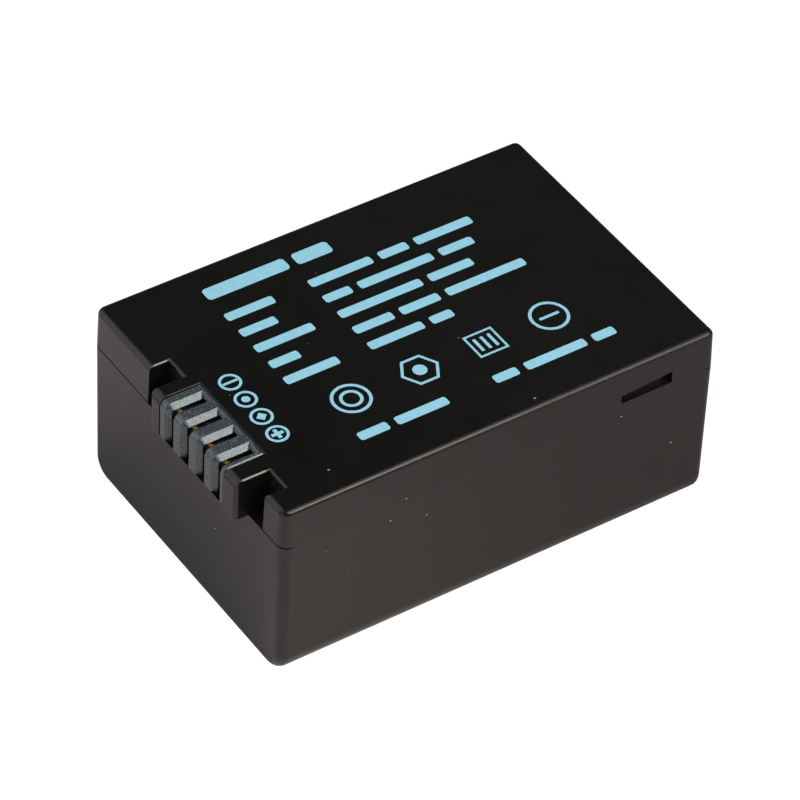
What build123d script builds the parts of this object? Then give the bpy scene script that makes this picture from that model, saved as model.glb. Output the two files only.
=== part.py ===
from build123d import *
import os

# A two-cell rechargeable camera battery, lying flat with its printed face up, in millimetres.
# X is the width, Y the length and Z the thickness. The terminal end faces -Y.
# The origin is at the bottom, below the centre of the whole pack.

# Case
case_width = 35.0
case_length = 51.0
case_height = 21.9
wall = 1.0
floor_thickness = 1.1
roof_thickness = 1.2
cover_depth = 4.5
inner_edge = 0.8

# Rounding of the case's outer edges. At each end one round runs down the sides and along the bottom.
front_edge = 1.1
rear_edge = 0.9
bottom_long_edge = 2.5
top_edge = 0.6

# How far the cover's walls lean in at the top
cover_lean = 0.15

# Line where the two shells meet: a shallow groove, wider on the ends than on the long sides
groove_height = 0.16
groove_at_ends = 0.3
groove_at_sides = 0.03

# Tongues on the tray that seat in rebates of the cover
tongue_height = 0.8
tongue_thickness = 0.4
tongue_clearance = 0.05
side_tongue_front = -13.0
side_tongue_rear = 12.0
rear_tongue_half = 12.0

# Frame that stands forward of the end face, round the terminals
frame_stand = 1.45
frame_half_width = 7.75
frame_sill = 0.4
frame_top_round = 1.0
frame_upright_round = 0.45
frame_sill_round = 0.15
frame_side_round = 0.25

# Guide notches beside the frame
notch_width = 2.75
notch_depth = 2.35
notch_round = 0.35
pocket_wall = 0.8

# Terminal block and its row of lead-in slots
terminal_centre = 3.5
slot_count = 4
slot_pitch = 2.83
slot_gap = 0.58
slot_lead_in = 0.52
slot_rear_wall = 0.55
slot_rear_lead_in = 0.3
first_finger = 0.95
last_finger = 0.5
finger_round = 0.8
block_depth = 3.1
block_clearance = 0.1
block_edge_break = 0.12
flange_reach = 1.1
flange_depth = 1.4
spring_pocket_width = 1.24
spring_pocket_setback = 1.0
spring_pocket_roof = 0.95
spring_pocket_floor = 0.6

# Spring contacts
contact_sheet = 0.18
contact_tip_setback = 1.15
contact_tip_half = 0.18
contact_pinch_half = 0.12
contact_pinch_length = 0.45
contact_spread_length = 1.6
contact_leaf_half = 0.48
contact_height = 2.5
contact_tip_rise = 0.45
contact_rear_gap = 0.12
contact_foot_half = 0.7

# Wedge-shaped slot in the right side of the cover
side_slot_front = 14.8
side_slot_length = 6.15
side_slot_lift = 0.2
side_slot_front_height = 0.95
side_slot_rear_height = 1.4
side_slot_depth = 0.9
side_slot_backing = 0.6

# Cells, lying across the pack
cell_lift = 0.4
cell_end_room = 0.7
cell_gap = 0.4
cell_rear_gap = 0.3
cell_cap_rise = 0.4
cell_cap_diameter = 8.0
cell_end_chamfer = 0.5
cell_bead_place = 2.4
cell_bead_width = 0.9
cell_bead_depth = 0.45
pad_thickness = 1.2
ring_thickness = 0.3
ring_edge_margin = 0.7
ring_cap_gap = 0.6

# Ribs of the tray
cradle_places = (-11.0, 0.0, 11.0)
cradle_thickness = 0.9
cradle_height = 4.6
cradle_clearance = 0.1
guide_thickness = 0.7
guide_reach = 0.9
guide_strip_gap = 0.5
shelf_thickness = 1.2

# Protection board
board_thickness = 0.8
board_contact_room = 1.3
board_side_gap = 0.3
board_roof_gap = 0.6
board_corner = 1.2
board_guide_clearance = 0.08

# Nickel strips and insulation
strip_thickness = 0.15
strip_width = 3.0
strip_foot = 3.4
strip_slit_width = 0.6
strip_slit_length = 3.5
link_width = 6.0
link_end_reach = 4.0
tap_width = 2.0
positive_strip_lift = 2.6
negative_strip_drop = 1.8
strip_pad_half = 3.4
paper_thickness = 0.16
paper_margin = 0.5
paper_clearance = 0.03
card_thickness = 0.25
card_side_gap = 0.9
card_top_gap = 1.0

# Parts on the board: width along X, height along Z, thickness along Y
protection_chip_size = (4.4, 3.0, 1.0)
protection_chip_place = (-5.0, 8.6)
protection_chip_lead_count = 4
power_switch_size = (4.4, 4.0, 1.05)
power_switch_place = (3.0, 8.6)
power_switch_lead_count = 4
identity_chip_size = (2.9, 2.2, 0.95)
identity_chip_place = (-1.2, 14.2)
identity_chip_lead_count = 3
thermistor_size = (1.6, 0.8, 0.8)
thermistor_place = (7.4, 14.2)
resistor_size = (1.6, 0.8, 0.45)
resistor_count = 5
resistor_pitch = 2.3
resistor_row = (-6.4, 5.2)
capacitor_size = (1.6, 0.8, 0.8)
capacitor_count = 3
capacitor_pitch = 2.3
capacitor_row = (-7.6, 12.6)
lead_width = 0.25
lead_reach = 0.7
lead_thickness = 0.18
lead_pitch = 0.65

# Foam pad under the roof
pad_half_width = 11.0
pad_overhang = 4.5

# Places worked out from the sizes above
half_width = case_width / 2
case_rear = (case_length + frame_stand) / 2
case_front = case_rear - case_length
frame_front = case_front - frame_stand
parting = case_height - cover_depth
roof_under = case_height - roof_thickness
inner_half = half_width - wall
inner_front = case_front + wall
inner_rear = case_rear - wall
frame_left = terminal_centre - frame_half_width
frame_right = terminal_centre + frame_half_width
notch_left = frame_left - notch_width
notch_right = frame_right + notch_width
notch_back = case_front + notch_depth
block_rear = case_front + block_depth
flange_rear = block_rear + flange_depth
slot_rear = block_rear - slot_rear_wall
slot_places = [terminal_centre + (i - (slot_count - 1) / 2) * slot_pitch for i in range(slot_count)]
mouth_half = slot_gap / 2 + slot_lead_in
block_left = slot_places[0] - mouth_half - first_finger
block_right = slot_places[-1] + mouth_half + last_finger
board_front = flange_rear + board_contact_room
board_rear = board_front + board_thickness
cell_diameter = roof_under - pad_thickness - floor_thickness - cell_lift
cell_can_length = 2 * (inner_half - cell_end_room) - cell_cap_rise
cell_radius = cell_diameter / 2
cell_rear_y = inner_rear - cell_rear_gap - cell_radius
cell_front_y = cell_rear_y - cell_diameter - cell_gap
cell_z = floor_thickness + cell_lift + cell_radius
cell_shift = cell_cap_rise / 2
cell_end = cell_can_length / 2 + cell_shift
negative_strip_top = cell_z - negative_strip_drop
negative_strip_bottom = negative_strip_top - strip_width


def box_between(x0, x1, y0, y1, z0, z1):
    """A box between two opposite corners."""
    centre = Pos((x0 + x1) / 2, (y0 + y1) / 2, (z0 + z1) / 2)
    return centre * Box(x1 - x0, y1 - y0, z1 - z0)


def corner_rounded(a0, a1, b0, b1, radii):
    """A flat rectangle with a radius of its own at each corner, anticlockwise from the lowest."""
    shape = Pos((a0 + a1) / 2, (b0 + b1) / 2) * Rectangle(a1 - a0, b1 - b0)
    corners = ((a0, b0), (a1, b0), (a1, b1), (a0, b1))
    for (a, b), radius in zip(corners, radii):
        if radius > 0:
            corner = shape.vertices().sort_by_distance((a, b, 0))[0]
            shape = fillet(corner, radius)
    return shape


def along_x(sketch, x0, x1):
    """A YZ outline drawn out from x0 to x1."""
    return Pos(x0, 0, 0) * extrude(Plane.YZ * sketch, x1 - x0, dir=(1, 0, 0))


def along_y(sketch, y0, y1):
    """An XZ outline drawn out from y0 to y1."""
    return Pos(0, y0, 0) * extrude(Plane.XZ * sketch, y1 - y0, dir=(0, 1, 0))


def along_z(sketch, z0, z1):
    """An XY outline drawn out from z0 to z1."""
    return Pos(0, 0, z0) * extrude(sketch, z1 - z0, dir=(0, 0, 1))


def tray_body():
    """The tray's outer form: a bar with rounded lower long edges, rounded at its two ends."""
    bar = corner_rounded(-half_width, half_width, 0, parting, (bottom_long_edge, bottom_long_edge, 0, 0))
    body = along_y(bar, case_front, case_rear)
    body = fillet(body.faces().sort_by(Axis.Y)[0].edges().sort_by(Axis.Z)[:-1], front_edge)
    return fillet(body.faces().sort_by(Axis.Y)[-1].edges().sort_by(Axis.Z)[:-1], rear_edge)


def cover_outline(inset, z):
    """The cover's outline at one height, set in from the tray's."""
    front = front_edge - inset
    rear = rear_edge - inset
    outline = corner_rounded(-half_width + inset, half_width - inset, case_front + inset, case_rear - inset,
                             (front, front, rear, rear))
    return (Pos(0, 0, z) * outline).face()


def cover_body():
    """The cover's outer form, which leans in towards a rounded top edge."""
    body = loft([cover_outline(0, parting), cover_outline(cover_lean, case_height)], ruled=True)
    return fillet(body.faces().sort_by(Axis.Z)[-1].edges(), top_edge)


def cavity():
    """The space inside the two shells, rounded at all its edges."""
    space = box_between(-inner_half, inner_half, inner_front, inner_rear, floor_thickness, roof_under)
    return fillet(space.edges(), inner_edge)


def tongues(clearance):
    """The tray's three tongues, or with a clearance the rebates that take them."""
    top = parting + tongue_height + clearance
    outer = tongue_thickness + clearance
    low = parting - wall / 2 if clearance == 0 else parting
    side_front = side_tongue_front - clearance
    side_rear = side_tongue_rear + clearance
    rear_half = rear_tongue_half + clearance
    left = box_between(-inner_half - outer, -inner_half, side_front, side_rear, low, top)
    right = box_between(inner_half, inner_half + outer, side_front, side_rear, low, top)
    rear = box_between(-rear_half, rear_half, inner_rear, inner_rear + outer, low, top)
    return [left, right, rear]


def parting_groove():
    """The ring that is cut from the tray's upper outer edge, so that a line shows between the shells."""
    ring = box_between(-half_width, half_width, case_front, case_rear, parting - groove_height, parting)
    half = half_width - groove_at_sides
    radii = (front_edge, front_edge, rear_edge, rear_edge)
    kept = corner_rounded(-half, half, case_front + groove_at_ends, case_rear - groove_at_ends, radii)
    return ring - along_z(kept, parting - groove_height, parting)


def cradle_rib(place):
    """A cross rib of the tray, hollowed to take the two cells."""
    front = cell_front_y - cell_radius
    rib = box_between(place - cradle_thickness / 2, place + cradle_thickness / 2,
                      front, inner_rear + wall / 2, floor_thickness / 2, floor_thickness + cradle_height)
    for y in (cell_front_y, cell_rear_y):
        bed = Cylinder(cell_radius + cradle_clearance, 2 * cradle_thickness)
        rib -= Pos(place, y, cell_z) * Rot(0, 90, 0) * bed
    return rib


def board_guides():
    """Two pairs of upright ribs that hold the board's lower edges."""
    ribs = []
    top = negative_strip_bottom - guide_strip_gap
    front_face = board_front - board_guide_clearance
    rear_face = board_rear + board_guide_clearance
    for y0, y1 in ((front_face - guide_thickness, front_face), (rear_face, rear_face + guide_thickness)):
        outer = inner_half + wall / 2
        inner = inner_half - guide_reach
        ribs.append(box_between(-outer, -inner, y0, y1, floor_thickness, top))
        ribs.append(box_between(inner, outer, y0, y1, floor_thickness, top))
    return ribs


def lower_case():
    """The deep tray, with cradles for the cells, guides for the board and a shelf under the terminals."""
    tray = tray_body() - cavity()
    for place in cradle_places:
        tray += cradle_rib(place)
    for rib in board_guides():
        tray += rib
    tray += box_between(notch_left - pocket_wall, notch_right + pocket_wall, case_front + wall / 2,
                        flange_rear, parting - shelf_thickness, parting)
    tray -= parting_groove()
    for tongue in tongues(0):
        tray += tongue
    return tray


def flared_outline(a0, a1, b0, b1, flare_left, flare_right):
    """A rectangle open at the top, whose upper corners spread outwards by quarter rounds."""
    left = a0 - flare_left
    right = a1 + flare_right
    lift = b1 + notch_round
    path = [Line((a0, b0), (a1, b0))]
    if flare_right > 0:
        path.append(Line((a1, b0), (a1, b1 - flare_right)))
        path.append(RadiusArc((a1, b1 - flare_right), (right, b1), flare_right))
        path.append(Line((right, b1), (right, lift)))
    else:
        path.append(Line((a1, b0), (a1, lift)))
    path.append(Line((right, lift), (left, lift)))
    if flare_left > 0:
        path.append(Line((left, lift), (left, b1)))
        path.append(RadiusArc((left, b1), (a0, b1 - flare_left), flare_left))
        path.append(Line((a0, b1 - flare_left), (a0, b0)))
    else:
        path.append(Line((a0, lift), (a0, b0)))
    return make_face(Curve() + path)


def notch_space():
    """The space across both guide notches, with rounded edges at the top and at the front."""
    low = parting - wall
    reach = case_front - frame_stand
    spread = 2 * notch_round
    top_view = flared_outline(notch_left, notch_right, -notch_back, -case_front, notch_round, notch_round)
    end_view = flared_outline(notch_left, notch_right, low, case_height, notch_round, notch_round)
    side_view = flared_outline(reach, notch_back, low, case_height, 0, notch_round)
    across = along_y(end_view, reach, notch_back + spread)
    across &= along_x(side_view, notch_left - spread, notch_right + spread)
    upright = along_z(mirror(top_view, about=Plane.XZ), low, case_height + spread)
    inside = box_between(notch_left - spread, notch_right + spread, case_front + notch_round,
                         notch_back + spread, low, case_height + spread)
    return across & (upright + inside)


def terminal_frame():
    """The frame that stands forward round the block, rounded at its front and outer edges."""
    rear = notch_back + pocket_wall / 2
    sill_bottom = parting - frame_sill
    plan = corner_rounded(frame_left, frame_right, frame_front, rear,
                          (frame_upright_round, frame_upright_round, 0, 0))
    side = corner_rounded(frame_front, rear, sill_bottom, case_height,
                          (frame_sill_round, 0, 0, frame_top_round))
    end = corner_rounded(frame_left, frame_right, sill_bottom, case_height,
                         (0, 0, frame_side_round, frame_side_round))
    frame = along_z(plan, sill_bottom, case_height)
    frame &= along_x(side, frame_left, frame_right)
    frame &= along_y(end, frame_front, rear)
    frame -= box_between(frame_left, frame_right, case_front, rear, sill_bottom, parting)
    return frame


def block_window():
    """The opening for the block, with slightly eased upper edges."""
    left = block_left - block_clearance
    right = block_right + block_clearance
    rear = block_rear + block_clearance
    ease = block_edge_break
    end_view = flared_outline(left, right, parting, case_height, ease, ease)
    side_view = flared_outline(frame_front - wall, rear, parting, case_height, 0, ease)
    space = along_y(end_view, frame_front - wall, rear + ease)
    return space & along_x(side_view, left - ease, right + ease)


def side_slot():
    """The wedge-shaped latch slot in the right side."""
    low = parting + side_slot_lift
    rear = side_slot_front + side_slot_length
    outline = Polyline((side_slot_front, low), (rear, low), (rear, low + side_slot_rear_height),
                       (side_slot_front, low + side_slot_front_height), close=True)
    return along_x(make_face(outline), half_width - side_slot_depth, half_width + wall)


def upper_case():
    """The shallow cover, with its notches, terminal frame, window and latch slot."""
    cover = cover_body() - cavity()
    inside_roof = roof_under + roof_thickness / 2
    cover += box_between(notch_left - pocket_wall, notch_right + pocket_wall, case_front + wall / 2,
                         block_rear, parting, inside_roof)
    slot_rear_end = side_slot_front + side_slot_length + pocket_wall
    cover += box_between(half_width - side_slot_depth - side_slot_backing, inner_half + wall / 2,
                         side_slot_front - pocket_wall, slot_rear_end, parting, inside_roof)
    cover -= notch_space()
    cover += terminal_frame()
    cover -= block_window()
    cover -= side_slot()
    for rebate in tongues(tongue_clearance):
        cover -= rebate
    return cover


def finger_outline(inset):
    """The side view of a finger of the block, set in at its front and top."""
    radii = (0, 0, 0, max(finger_round - inset, block_edge_break))
    return corner_rounded(frame_front + inset, block_rear, parting, case_height - inset, radii)


def flank(x, lead, side):
    """The sloping side of a finger, which leads the mating blade into the slot."""
    full = Pos(x, 0, 0) * (Plane.YZ * finger_outline(0))
    narrow = Pos(x + side * lead, 0, 0) * (Plane.YZ * finger_outline(lead))
    return loft([full.face(), narrow.face()], ruled=True)


def finger(x0, x1, left_lead, right_lead):
    """One finger between two slots, flat from x0 to x1 and sloping beyond."""
    body = along_x(finger_outline(0), x0, x1)
    body += flank(x0, left_lead, -1)
    body += flank(x1, right_lead, 1)
    return body


def terminal_block():
    """The moulded block: a rear wall with a flange, and fingers with lead-in slots between them."""
    wall_outline = Polyline((slot_rear, parting), (block_rear, parting), (block_rear, case_height),
                            (slot_rear + slot_rear_lead_in, case_height),
                            (slot_rear, case_height - slot_rear_lead_in), close=True)
    ease = block_edge_break
    body = along_x(make_face(wall_outline), block_left + ease, block_right - ease)
    under_roof = roof_under - block_clearance
    body += box_between(block_left, block_right, slot_rear, flange_rear, parting, under_roof)
    body += box_between(block_left - flange_reach, block_right + flange_reach,
                        block_rear + block_clearance, flange_rear, parting, under_roof)
    starts = [block_left + ease] + [x + mouth_half for x in slot_places]
    ends = [x - mouth_half for x in slot_places] + [block_right - ease]
    for i, (x0, x1) in enumerate(zip(starts, ends)):
        left_lead = ease if i == 0 else slot_lead_in
        right_lead = ease if i == slot_count else slot_lead_in
        body += finger(x0, x1, left_lead, right_lead)
    for x in slot_places:
        half = spring_pocket_width / 2
        body -= box_between(x - half, x + half, frame_front + spring_pocket_setback, flange_rear + wall,
                            parting + spring_pocket_floor, case_height - spring_pocket_roof)
    return body


def contact(x):
    """A spring contact: two leaves that pinch the blade, a base behind the block and a tail to the board."""
    tip = frame_front + contact_tip_setback
    pinch = tip + contact_pinch_length
    spread = pinch + contact_spread_length
    base = flange_rear + contact_rear_gap + contact_sheet / 2
    foot = board_front - contact_sheet / 2
    low = parting + spring_pocket_floor + block_clearance
    bow = [(contact_tip_half, tip), (contact_pinch_half, pinch), (contact_leaf_half, spread)]
    leaf = bow + [(contact_leaf_half, base)]
    back = [(-a, b) for a, b in reversed(leaf)]
    clip = trace(Polyline(*leaf, *back), contact_sheet)
    clip += trace(Line((0, base), (0, foot)), contact_sheet)
    clip += trace(Line((-contact_foot_half, foot), (contact_foot_half, foot)), contact_sheet)
    tips = trace(Polyline(*bow[:2]), contact_sheet)
    tips += mirror(tips, about=Plane.YZ)
    spring = along_z(clip, low, low + contact_height)
    spring += along_z(tips, low, low + contact_height + contact_tip_rise)
    return Pos(x, 0, 0) * spring


def cell(y, positive_side):
    """A sealed cell across the pack, with a bead below its positive cap."""
    half = cell_can_length / 2
    bead_x = half - cell_bead_place
    bead = [(bead_x - cell_bead_width / 2, cell_radius), (bead_x, cell_radius - cell_bead_depth),
            (bead_x + cell_bead_width / 2, cell_radius)]
    can = Pos(0, cell_radius / 2) * Rectangle(cell_can_length, cell_radius)
    can = chamfer(can.vertices().group_by(Axis.Y)[-1], cell_end_chamfer)
    can -= make_face(Polyline(*bead, close=True))
    cap = Rectangle(cell_cap_rise, cell_cap_diameter / 2)
    can += Pos(half + cell_cap_rise / 2, cell_cap_diameter / 4) * cap
    solid = revolve(can, Axis.X)
    if positive_side < 0:
        solid = Rot(0, 0, 180) * solid
    return Pos(-positive_side * cell_shift, y, cell_z) * solid


def insulator_ring(y, positive_side):
    """The paper ring round a cell's positive cap."""
    face = positive_side * (cell_can_length / 2 - cell_shift)
    ring = Circle(cell_radius - ring_edge_margin) - Circle(cell_cap_diameter / 2 + ring_cap_gap)
    plate = along_x(ring, min(face, face + positive_side * ring_thickness),
                    max(face, face + positive_side * ring_thickness))
    return Pos(0, y, cell_z) * plate


def strip_foot_plate(side, x_out, z0, z1):
    """The bent end of a strip, flat on the back of the board."""
    inner = x_out - side * strip_foot
    return box_between(min(inner, x_out), max(inner, x_out), board_rear, board_rear + strip_thickness, z0, z1)


def slit_at(x, y):
    """The weld slit in the end of a strip."""
    return box_between(x - wall, x + wall, y - strip_slit_length / 2, y + strip_slit_length / 2,
                       cell_z - strip_slit_width / 2, cell_z + strip_slit_width / 2)


def series_link():
    """The strip that joins the two cells on the left, with a narrow tap to the board."""
    x_in = -cell_end
    x_out = x_in - strip_thickness
    z0 = cell_z - link_width / 2
    front = cell_front_y - link_end_reach
    link = box_between(x_out, x_in, front, cell_rear_y + link_end_reach, z0, z0 + link_width)
    link -= slit_at(x_in, cell_front_y)
    link -= slit_at(x_in, cell_rear_y)
    tap0 = cell_z - tap_width / 2
    tap1 = cell_z + tap_width / 2
    link += box_between(x_out, x_in, board_rear, front, tap0, tap1)
    link += strip_foot_plate(-1, x_in, tap0, tap1)
    return link


def negative_strip():
    """The strip from the front cell's can to the board, on the right."""
    x_in = cell_end
    x_out = x_in + strip_thickness
    z0 = negative_strip_bottom
    z1 = negative_strip_top
    strip = box_between(x_in, x_out, board_rear, cell_front_y + strip_pad_half, z0, z1)
    return strip + strip_foot_plate(1, x_in, z0, z1)


def insulator_strip():
    """The paper between the positive strip and the front cell's can."""
    z0 = cell_z + positive_strip_lift - paper_margin
    z1 = cell_z + positive_strip_lift + strip_width + paper_margin
    y0 = cell_front_y - cell_radius
    return box_between(cell_end, cell_end + paper_thickness, y0, cell_front_y + cell_radius, z0, z1)


def positive_strip():
    """The strip from the rear cell's cap to the board, joggled outwards over the paper."""
    x_near = cell_end
    x_far = cell_end + paper_thickness + paper_clearance
    z0 = cell_z + positive_strip_lift
    z1 = z0 + strip_width
    ramp_rear = cell_rear_y - strip_pad_half
    ramp_front = cell_front_y + cell_radius
    pad = box_between(x_near, x_near + strip_thickness, ramp_rear, cell_rear_y + strip_pad_half,
                      cell_z - strip_pad_half, z1)
    pad -= slit_at(x_near, cell_rear_y)
    ramp = Polyline((x_near, ramp_rear), (x_near + strip_thickness, ramp_rear),
                    (x_far + strip_thickness, ramp_front), (x_far, ramp_front), close=True)
    run = box_between(x_far, x_far + strip_thickness, board_rear, ramp_front, z0, z1)
    strip = pad + along_z(make_face(ramp), z0, z1)
    return strip + run + strip_foot_plate(1, x_far, z0, z1)


def protection_board():
    """The board that stands behind the terminals, with its lower corners cut off."""
    half = inner_half - board_side_gap
    outline = corner_rounded(-half, half, floor_thickness, roof_under - board_roof_gap, (0, 0, 0, 0))
    outline = chamfer(outline.vertices().group_by(Axis.Y)[0], board_corner)
    return along_y(outline, board_front, board_rear)


def leaded_chip(size, place, leads):
    """A moulded chip on the back of the board, with flat leads on two sides."""
    width, height, thickness = size
    x, z = place
    back = board_rear + thickness
    body = box_between(x - width / 2, x + width / 2, board_rear, back, z - height / 2, z + height / 2)
    body = chamfer(body.faces().sort_by(Axis.Y)[-1].edges(), lead_thickness)
    half_reach = width / 2 + lead_reach
    for i in range(leads):
        lead_z = z + (i - (leads - 1) / 2) * lead_pitch
        body += box_between(x - half_reach, x + half_reach, board_rear, board_rear + lead_thickness,
                            lead_z - lead_width / 2, lead_z + lead_width / 2)
    return body


def small_part(size, x, z):
    """A chip resistor, capacitor or thermistor on the back of the board."""
    width, height, thickness = size
    return box_between(x - width / 2, x + width / 2, board_rear, board_rear + thickness,
                       z - height / 2, z + height / 2)


def part_row(size, row, count, pitch):
    """A row of small parts, as separate solids of one group."""
    x, z = row
    return Compound(children=[small_part(size, x + i * pitch, z).solid() for i in range(count)])


def barrier_card():
    """The insulating card that leans on the front cell, between it and the board."""
    half = inner_half - card_side_gap
    back = cell_front_y - cell_radius
    return box_between(-half, half, back - card_thickness, back, floor_thickness, roof_under - card_top_gap)


def roof_pad():
    """The foam pad between the cells and the roof."""
    return box_between(-pad_half_width, pad_half_width, cell_front_y - pad_overhang,
                       cell_rear_y + pad_overhang, cell_z + cell_radius, roof_under)


contact_names = ("contact_negative", "contact_data", "contact_temperature", "contact_positive")
pieces = {
    "lower_case": lower_case(),
    "upper_case": upper_case(),
    "terminal_block": terminal_block(),
    "cell_front": cell(cell_front_y, -1),
    "cell_rear": cell(cell_rear_y, 1),
    "insulator_ring_front": insulator_ring(cell_front_y, -1),
    "insulator_ring_rear": insulator_ring(cell_rear_y, 1),
    "series_link": series_link(),
    "negative_strip": negative_strip(),
    "positive_strip": positive_strip(),
    "insulator_strip": insulator_strip(),
    "protection_board": protection_board(),
    "protection_chip": leaded_chip(protection_chip_size, protection_chip_place, protection_chip_lead_count),
    "power_switch": leaded_chip(power_switch_size, power_switch_place, power_switch_lead_count),
    "identity_chip": leaded_chip(identity_chip_size, identity_chip_place, identity_chip_lead_count),
    "thermistor": small_part(thermistor_size, *thermistor_place),
    "chip_resistors": part_row(resistor_size, resistor_row, resistor_count, resistor_pitch),
    "chip_capacitors": part_row(capacitor_size, capacitor_row, capacitor_count, capacitor_pitch),
    "barrier_card": barrier_card(),
    "roof_pad": roof_pad(),
}
for name, x in zip(contact_names, slot_places):
    pieces[name] = contact(x)

os.makedirs("parts", exist_ok=True)
for name, piece in pieces.items():
    export_step(piece, f"parts/{name}.step")
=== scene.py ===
"""The looks of a camera battery: finishes, the print, a few dust specks and a white studio."""
import math

import bpy
from bpy.props import FloatProperty, FloatVectorProperty, PointerProperty
from mathutils import Matrix, Vector


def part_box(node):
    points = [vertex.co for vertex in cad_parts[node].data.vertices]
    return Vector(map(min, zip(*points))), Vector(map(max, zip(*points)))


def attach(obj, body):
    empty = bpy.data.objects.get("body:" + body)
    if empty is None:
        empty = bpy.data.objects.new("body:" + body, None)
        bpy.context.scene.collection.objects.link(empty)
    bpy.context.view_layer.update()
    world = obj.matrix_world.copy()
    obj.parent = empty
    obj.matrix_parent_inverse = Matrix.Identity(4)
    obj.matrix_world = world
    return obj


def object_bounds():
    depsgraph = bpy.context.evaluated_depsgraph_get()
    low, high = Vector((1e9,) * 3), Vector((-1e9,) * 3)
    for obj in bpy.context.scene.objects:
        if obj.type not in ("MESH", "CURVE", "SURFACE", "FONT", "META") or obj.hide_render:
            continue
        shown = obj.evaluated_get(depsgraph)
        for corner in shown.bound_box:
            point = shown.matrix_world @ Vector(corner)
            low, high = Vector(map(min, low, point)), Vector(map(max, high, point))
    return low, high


bl_info = {
    "name": "Camera battery",
    "version": (1, 0, 0),
    "blender": (4, 5, 0),
    "location": "3D View > Sidebar > Battery",
    "description": "Finishes, print and dust of a camera battery, and a white studio round it",
    "category": "Object",
}

MM = 0.001

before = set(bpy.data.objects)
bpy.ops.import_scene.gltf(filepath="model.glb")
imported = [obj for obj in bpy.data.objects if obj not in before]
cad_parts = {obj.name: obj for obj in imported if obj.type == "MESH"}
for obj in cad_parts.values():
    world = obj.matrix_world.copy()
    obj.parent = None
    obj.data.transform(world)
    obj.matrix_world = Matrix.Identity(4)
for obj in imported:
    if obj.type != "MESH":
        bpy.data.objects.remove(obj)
case_low, case_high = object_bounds()
tray_low, tray_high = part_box("lower_case")
block_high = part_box("terminal_block")[1]
board_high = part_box("protection_board")[1]
cell_low, cell_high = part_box("cell_front")

# Nodes that share a finish
SHELLS = ("lower_case", "upper_case")
CONTACTS = ("contact_negative", "contact_data", "contact_temperature", "contact_positive")
CELLS = ("cell_front", "cell_rear")
STRIPS = ("series_link", "negative_strip", "positive_strip")
PAPERS = ("insulator_ring_front", "insulator_ring_rear", "insulator_strip")
CHIPS = ("protection_chip", "power_switch", "identity_chip")
CERAMICS = ("thermistor", "chip_resistors", "chip_capacitors")

# Slots of the terminal block, which bound the painted shade in them: their width with a rim, the lead-in
# above their walls, and their rear ends
SLOT_GAP = 0.58 * MM
SLOT_RIM = 0.03 * MM
LEAD_IN = 0.54 * MM
SLOT_END = 1.96 * MM
END_RIM = 0.1 * MM

# Groove where the shells meet on the long sides, where painted light lifts its shade: the cover's depth, and
# the groove's height, depth and rim
COVER_DEPTH = 4.5 * MM
SEAM_HEIGHT = 0.165 * MM
SEAM_DEPTH = 0.045 * MM
SEAM_RIM = 0.004 * MM

# Edges of the guide notches with a painted highlight: place across, front end and rear end, in mm
PAINTED_GLINT_EDGES = ((11.25, -25.35, -22.7), (-7.0, -24.05, -22.6))
PAINTED_GLINT_WIDTH = 0.16 * MM

# Shells: by how much they are smoother at the terminal end and rougher behind, and the stretch between
WORN_CHANGE = 0.05
WORN_SPAN = (-18 * MM, 6 * MM)

# Colours of the shells' dust, of the painted light in the seam groove and of the painted highlights on two
# edges
DUST_COLOUR = (0.3, 0.29, 0.27)
SEAM_LIGHT_COLOUR = (0.021, 0.0205, 0.0198)
PAINTED_GLINT_COLOUR = (0.23, 0.225, 0.2)

# Inner pieces: the bare end of a cell's can, and the height of a chip's tinned leads over the board
BARE_END = 1.1 * MM
LEAD_HEIGHT = 0.19 * MM

# Corners of round shapes, and the rounds of lines and bars as shares of their width
FINE_CORNERS = 64
SMALL_CORNERS = 32
LINE_ROUND = 1 / 8
BAR_ROUND = 1 / 4

# Terminal rings: their row along the pack and the first one's place across
RING_ROW = -19.02 * MM
FIRST_RING = -1.16 * MM

# Marks in the rings: shares of the room inside, and the plus's lines as a share of the ring's line
MINUS_LENGTH = 0.94
DOT_RADIUS = 0.25
DIAMOND_RADIUS = 0.33
PLUS_LENGTH = 0.74
PLUS_STROKE = 1.35

# Print: rows run along the pack. Each row gives its place across, then its bars' starts and lengths, in mm.
TITLE_ROW = (-13.2, ((-14.4, 9.6), (-3.9, 4.2)))
TABLE_ROWS = (
    (-9.3, ((-14.4, 5.6), (-4.6, 7.4), (3.7, 3.4), (8.0, 6.8))),
    (-6.6, ((-14.4, 4.2), (-4.6, 3.2), (-0.5, 8.8), (9.2, 4.0))),
    (-3.9, ((-14.4, 6.8), (-4.6, 9.8), (6.1, 5.2))),
    (-1.2, ((-14.4, 3.4), (-4.6, 4.6), (0.9, 4.6), (6.4, 9.4))),
    (1.5, ((-14.4, 6.2), (-4.6, 6.4), (2.7, 2.6))),
)
FOOT_ROW = (11.9, ((-12.6, 3.4), (-8.3, 6.0), (3.2, 2.8), (6.9, 7.2), (15.0, 2.6)))

# Symbols: their row across, places along and sizes in mm, and their lines as a share of the rings' lines
SYMBOL_ROW = 6.9
SYMBOL_PLACES = (-10.2, -2.2, 5.6, 13.2)
TARGET_RADII = (2.1, 1.2)
HEXAGON_RADIUS = 2.2
HEXAGON_DOT = 0.75
SQUARE_RADIUS = 2.4
SQUARE_BAR = 1.9
SQUARE_PITCH = 0.85
DISC_RADIUS = 2.1
DISC_BAR = 2.3
SYMBOL_STROKE = 1.15

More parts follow.
